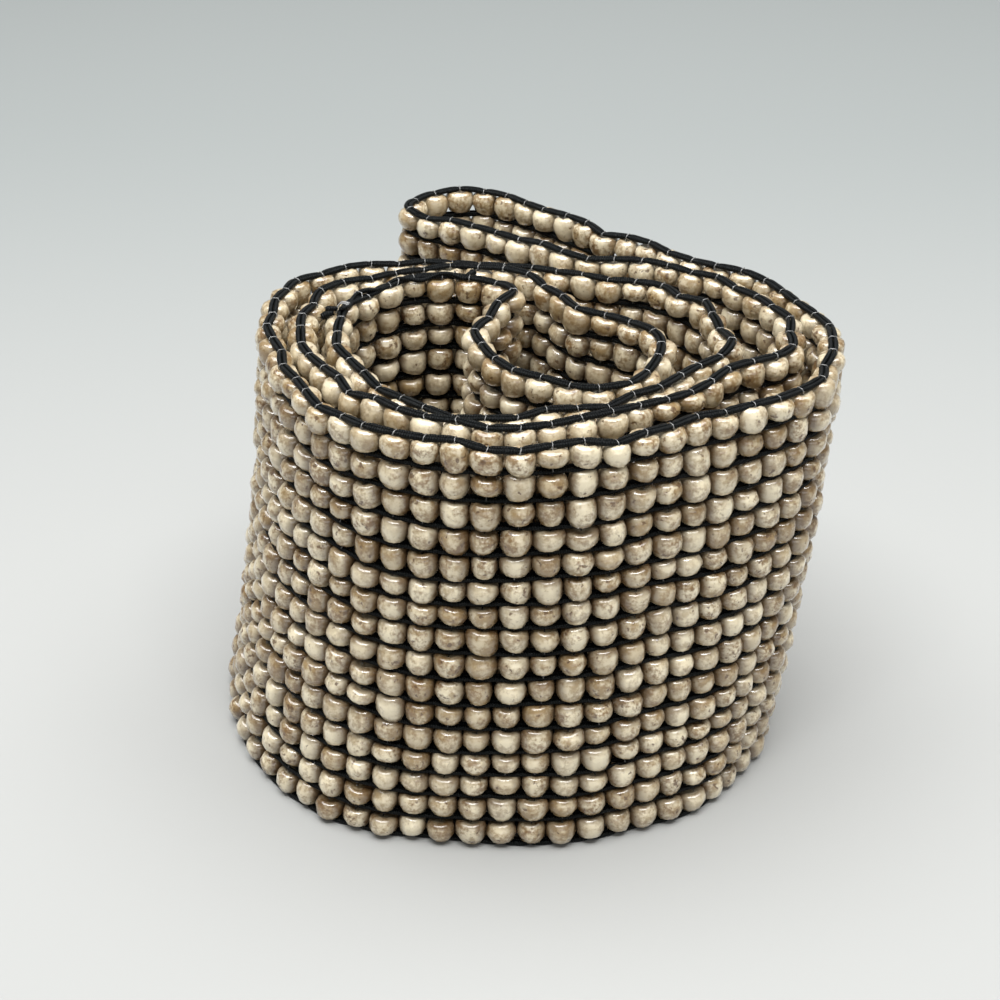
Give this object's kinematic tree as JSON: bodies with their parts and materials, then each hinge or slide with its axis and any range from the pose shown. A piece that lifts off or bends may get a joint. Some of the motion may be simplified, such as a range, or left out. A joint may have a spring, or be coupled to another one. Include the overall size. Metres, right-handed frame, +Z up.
{
  "type": "beaded belt",
  "caption": "Wide stretch belt of mottled glazed seed beads woven between black elastic cords, flattened, rolled up and standing on its long edge.",
  "frame": {"origin": "on the floor, under the middle of the rolled belt's bounding box", "axes": "+Z up along the width of the belt; -Y towards the viewer, where the outer layer runs across; +Y towards the far fold"},
  "size_m": [0.0948, 0.0944, 0.0677],
  "materials": {
    "bead_glaze": "glossy glazed beads, cream to tan with brown speckles",
    "elastic": "matte black elastic cord, finely ribbed"
  },
  "bodies": {
    "root": {"band_far_fold": "bead_glaze", "band_outer_right": "bead_glaze", "band_outer_left": "bead_glaze", "band_second_right": "bead_glaze", "band_second_left": "bead_glaze", "band_hollow_back": "bead_glaze", "band_curled_loop": "bead_glaze", "band_inner_left": "bead_glaze", "band_inner_right": "bead_glaze", "upper_edge_cord": "elastic", "lower_edge_cord": "elastic", "joint_overlap_strand": "elastic", "joint_cut_end_1": "elastic", "joint_cut_end_2": "elastic", "joint_cut_end_3": "elastic"}
  },
  "joints": []
}
